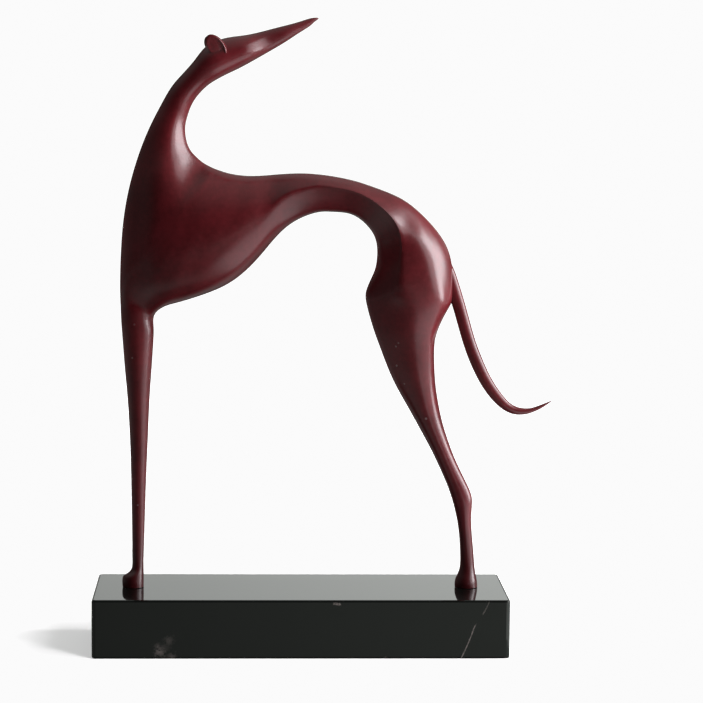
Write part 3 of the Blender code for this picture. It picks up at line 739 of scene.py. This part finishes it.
class HoundFigure(bpy.types.PropertyGroup):
    """Size and finish of the cast dog."""

    height: FloatProperty(name="Height", description="Sole to nose tip", subtype="DISTANCE", unit="LENGTH",
                          default=0.3472)
    fineness: IntProperty(name="Fineness", description="Subdivisions of the cast's surface", default=3)
    deep_colour: FloatVectorProperty(name="Deep red", description="Patina where it lies thick",
                                     subtype="COLOR", size=4, default=hex_colour("#681a20"))
    light_colour: FloatVectorProperty(name="Light red", description="Patina where it lies thin",
                                      subtype="COLOR", size=4, default=hex_colour("#81232b"))
    # Colour that the red turns to towards the bottom of the legs
    foot_colour: FloatVectorProperty(name="Foot red", description="Red towards the bottom of the legs",
                                     subtype="COLOR", size=4, default=hex_colour("#4c1317"))
    foot_height: FloatProperty(name="Foot height", description="How far up the darker feet reach",
                               subtype="DISTANCE", unit="LENGTH", default=0.060)
    roughness: FloatProperty(name="Roughness", description="Gloss of the satin lacquer", subtype="FACTOR",
                             default=0.40)
    patch_size: FloatProperty(name="Patch size", description="Width of the patina's soft patches in mm",
                              default=30.0)
    mottle_size: FloatProperty(name="Mottle size", description="Width of the finer mottling in mm",
                               default=3.0)
    speck_colour: FloatVectorProperty(name="Speck colour", description="Specks where the patina is rubbed",
                                      subtype="COLOR", size=4, default=hex_colour("#b58f90"))
    speck_height: FloatProperty(name="Speck height", description="How far up the legs the specks reach",
                                subtype="DISTANCE", unit="LENGTH", default=0.215)
    speck_spacing: FloatProperty(name="Speck spacing", description="Distance between the specks in mm",
                                 default=11.0)
    speck_size: FloatProperty(name="Speck size", description="Radius of the largest specks in mm",
                              default=1.0)
    lump_size: FloatProperty(name="Lump size", description="Width of the hand-worked unevenness in mm",
                             default=4.0)
    lump_depth: FloatProperty(name="Lump depth", description="Depth of that unevenness", unit="LENGTH",
                              default=0.0003)
    grain_size: FloatProperty(name="Grain size", description="Casting sand left under the lacquer, in mm",
                              default=0.7)
    grain_depth: FloatProperty(name="Grain depth", description="Depth of that grain", unit="LENGTH",
                               default=0.00004)


class HoundPlinth(bpy.types.PropertyGroup):
    """Finish of the marble slab."""

    stone_colour: FloatVectorProperty(name="Stone", description="Black of the marble", subtype="COLOR",
                                      size=4, default=hex_colour("#0b0c0b"))
    cloud_colour: FloatVectorProperty(name="Clouds", description="Greyer clouds in the black",
                                      subtype="COLOR", size=4, default=hex_colour("#161816"))
    vein_colour: FloatVectorProperty(name="Veins", description="Calcite veins and crystal clouds",
                                     subtype="COLOR", size=4, default=hex_colour("#b8aaa6"))
    roughness: FloatProperty(name="Roughness", description="Polish of the marble", subtype="FACTOR",
                             default=0.05)
    polish_tint: FloatVectorProperty(name="Polish tint", description="Cool green cast of the polish",
                                     subtype="COLOR", size=4, default=hex_colour("#f8fff8"))
    cloud_size: FloatProperty(name="Cloud size", description="Width of the grey clouds in mm", default=22.0)
    crystal_size: FloatProperty(name="Crystal size", description="Width of the stone's crystals in mm",
                                default=1.6)


class HoundStudio(bpy.types.PropertyGroup):
    """Floor, light and camera."""

    floor_colour: FloatVectorProperty(name="Floor", description="White acrylic floor", subtype="COLOR",
                                      size=4, default=hex_colour("#f4f5f4"))
    floor_glow: FloatProperty(name="Floor glow", description="Light from below the floor, at the plinth",
                              default=0.40)
    softbox_power: FloatProperty(name="Softbox power", description="Tall softbox on the right",
                                 unit="POWER", default=14.2)
    screen_power: FloatProperty(name="Screen power", description="Weaker screen in front of the softbox",
                                unit="POWER", default=3.6)
    card_power: FloatProperty(name="Card power", description="Low card in front on the right",
                              unit="POWER", default=0.85)
    floor_power: FloatProperty(name="Floor lamp power", description="Lamp that only lights the floor",
                               unit="POWER", default=26.5)
    rear_power: FloatProperty(name="Rear fill power", description="Lamp that lifts the figure's far side",
                              unit="POWER", default=11.0)
    white_level: FloatProperty(name="White level", description="Brightest value the picture shows",
                               default=0.963)


class HOUND_OT_cast_dog(bpy.types.Operator):
    """Cast the dog in one piece, with its ears and tail, and lay its patina on"""

    bl_idname = "hound.cast_dog"
    bl_label = "Cast the dog"

    def execute(self, context):
        body = smooth(add_object("hound_body", dog_mesh()))
        tail = smooth(add_object("hound_tail", tube_mesh([section(s, oval(TAIL_RING)) for s in TAIL])))
        near_ear = smooth(add_object("hound_near_ear", tube_mesh(ear_rings(-1, (0.0, 0.0)))))
        far_ear = smooth(add_object("hound_far_ear", tube_mesh(ear_rings(1, FAR_EAR_OFFSET))))
        cast = cast_in_one(body, (tail, near_ear, far_ear))
        cast.data.materials.append(patinated_bronze(context.scene.hound_figure))
        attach(cast, "root")
        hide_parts("dog")
        return {"FINISHED"}


class HOUND_OT_polish_plinth(bpy.types.Operator):
    """Polish the plinth's black marble and let its pale veins show"""

    bl_idname = "hound.polish_plinth"
    bl_label = "Polish the plinth"

    def execute(self, context):
        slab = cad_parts["plinth"]
        marble = black_marble(context.scene.hound_plinth)
        if not slab.material_slots:
            slab.data.materials.append(marble)
        for slot in slab.material_slots:
            slot.link = "OBJECT"
            slot.material = marble
        return {"FINISHED"}


class HOUND_OT_set_studio(bpy.types.Operator):
    """Lay the white floor, hang the soft lights and place the camera"""

    bl_idname = "hound.set_studio"
    bl_label = "Set the studio"

    def execute(self, context):
        scene = context.scene
        floor = lay_floor(scene.hound_studio)
        hang_lights(scene.hound_studio, floor)
        light_room(scene)
        place_camera(scene)
        scene.view_settings.view_transform = "Standard"
        scene.view_settings.use_curve_mapping = True
        scene.view_settings.curve_mapping.extend = "HORIZONTAL"
        curve = scene.view_settings.curve_mapping.curves[3]
        curve.points[-1].location = (1.0, scene.hound_studio.white_level)
        scene.view_settings.curve_mapping.update()
        return {"FINISHED"}


def lay_floor(studio):
    """A large sheet of backlit acrylic; like a masked product shot, it throws no light on the figure."""
    mesh = bmesh.new()
    bmesh.ops.create_grid(mesh, x_segments=1, y_segments=1, size=FLOOR_HALF_WIDTH)
    floor = add_object("studio_floor", mesh)
    floor.location.z = PLINTH_LOW.z
    floor.data.materials.append(backlit_acrylic(studio))
    floor.visible_diffuse = False
    floor.visible_glossy = False
    return floor


def hang_light(name, place, aim, width, height, power):
    """One flat soft light, seen by the object and not by the camera."""
    light = bpy.data.lights.new(name, "AREA")
    light.shape = "RECTANGLE"
    light.size, light.size_y = width, height
    light.energy = power
    light.color = LIGHT_TINT
    lamp = bpy.data.objects.new(name, light)
    lamp.location = place
    lamp.rotation_euler = (Vector(aim) - Vector(place)).to_track_quat("-Z", "Y").to_euler()
    lamp.visible_camera = False
    bpy.context.scene.collection.objects.link(lamp)
    return lamp


def hang_lights(studio, floor):
    """A tall softbox and a screen on the right, a low card before them, a floor lamp and a rear fill."""
    powers = (studio.softbox_power, studio.screen_power, studio.card_power, studio.floor_power,
              studio.rear_power)
    lamps = {name: hang_light(name, *LIGHTS[name], power) for name, power in zip(LIGHTS, powers)}
    lit = bpy.data.collections.new("lit by the floor lamp")
    lit.objects.link(floor)
    lamps["floor lamp"].light_linking.receiver_collection = lit
    lamps["rear fill"].visible_glossy = False


def light_room(scene):
    """The room round the set: white behind the figure, dim at its sides, with a pale table edge in front."""
    world = bpy.data.worlds.new("studio room")
    scene.world = world
    world.use_nodes = True
    tree = world.node_tree
    tree.nodes.clear()
    way = add_node(tree, "ShaderNodeSeparateXYZ",
                   links={0: add_node(tree, "ShaderNodeTexCoord").outputs["Generated"]}).outputs
    lobes = []
    for ramps in ROOM_LOBES.values():
        factors = [add_node(tree, "ShaderNodeMapRange", {"interpolation_type": "SMOOTHSTEP"},
                            {"From Min": start, "From Max": end, "To Min": low, "To Max": high},
                            {"Value": way[axis]}).outputs[0] for axis, start, end, low, high in ramps]
        lobes.append(combined(tree, "MULTIPLY", factors))
    seen = add_node(tree, "ShaderNodeMix", {"data_type": "FLOAT"}, {"B": BACKDROP_BRIGHTNESS},
                    {"Factor": add_node(tree, "ShaderNodeLightPath").outputs["Is Camera Ray"],
                     "A": combined(tree, "ADD", lobes)})
    back = add_node(tree, "ShaderNodeBackground", values={"Color": ROOM_TINT},
                    links={"Strength": seen.outputs["Result"]})
    output = add_node(tree, "ShaderNodeOutputWorld")
    tree.links.new(back.outputs[0], output.inputs["Surface"])


def place_camera(scene):
    """The camera, at the place and angle that the picture was taken from."""
    camera = bpy.data.objects.new("camera", bpy.data.cameras.new("camera"))
    camera.data.lens = CAMERA_LENS
    camera.data.sensor_width = CAMERA_SENSOR
    camera.matrix_world = (Matrix.Translation(CAMERA_PLACE)
                           @ Matrix.Rotation(-CAMERA_HEADING, 4, "Z")
                           @ Matrix.Rotation(math.pi / 2 - CAMERA_TILT, 4, "X")
                           @ Matrix.Rotation(CAMERA_ROLL, 4, "Z"))
    scene.collection.objects.link(camera)
    scene.camera = camera


class HOUND_PT_panel(bpy.types.Panel):
    """Sizes, colours and steps of the figurine"""

    bl_label = "Hound figurine"
    bl_idname = "HOUND_PT_panel"
    bl_space_type = "VIEW_3D"
    bl_region_type = "UI"
    bl_category = "Hound"

    def draw(self, context):
        for group, operator in zip(GROUPS, OPERATORS):
            box = self.layout.box()
            settings = getattr(context.scene, group[0])
            for name in group[1].__annotations__:
                box.prop(settings, name)
            box.operator(operator.bl_idname)


GROUPS = (("hound_figure", HoundFigure), ("hound_plinth", HoundPlinth), ("hound_studio", HoundStudio))
OPERATORS = (HOUND_OT_cast_dog, HOUND_OT_polish_plinth, HOUND_OT_set_studio)


def register():
    for name, group in GROUPS:
        bpy.utils.register_class(group)
        setattr(bpy.types.Scene, name, PointerProperty(type=group))
    for kind in (*OPERATORS, HOUND_PT_panel):
        bpy.utils.register_class(kind)


def unregister():
    for kind in reversed((*OPERATORS, HOUND_PT_panel)):
        bpy.utils.unregister_class(kind)
    for name, group in reversed(GROUPS):
        delattr(bpy.types.Scene, name)
        bpy.utils.unregister_class(group)


def main():
    register()
    bpy.ops.hound.cast_dog()
    bpy.ops.hound.polish_plinth()
    bpy.ops.hound.set_studio()


if __name__ == "__main__":
    main()
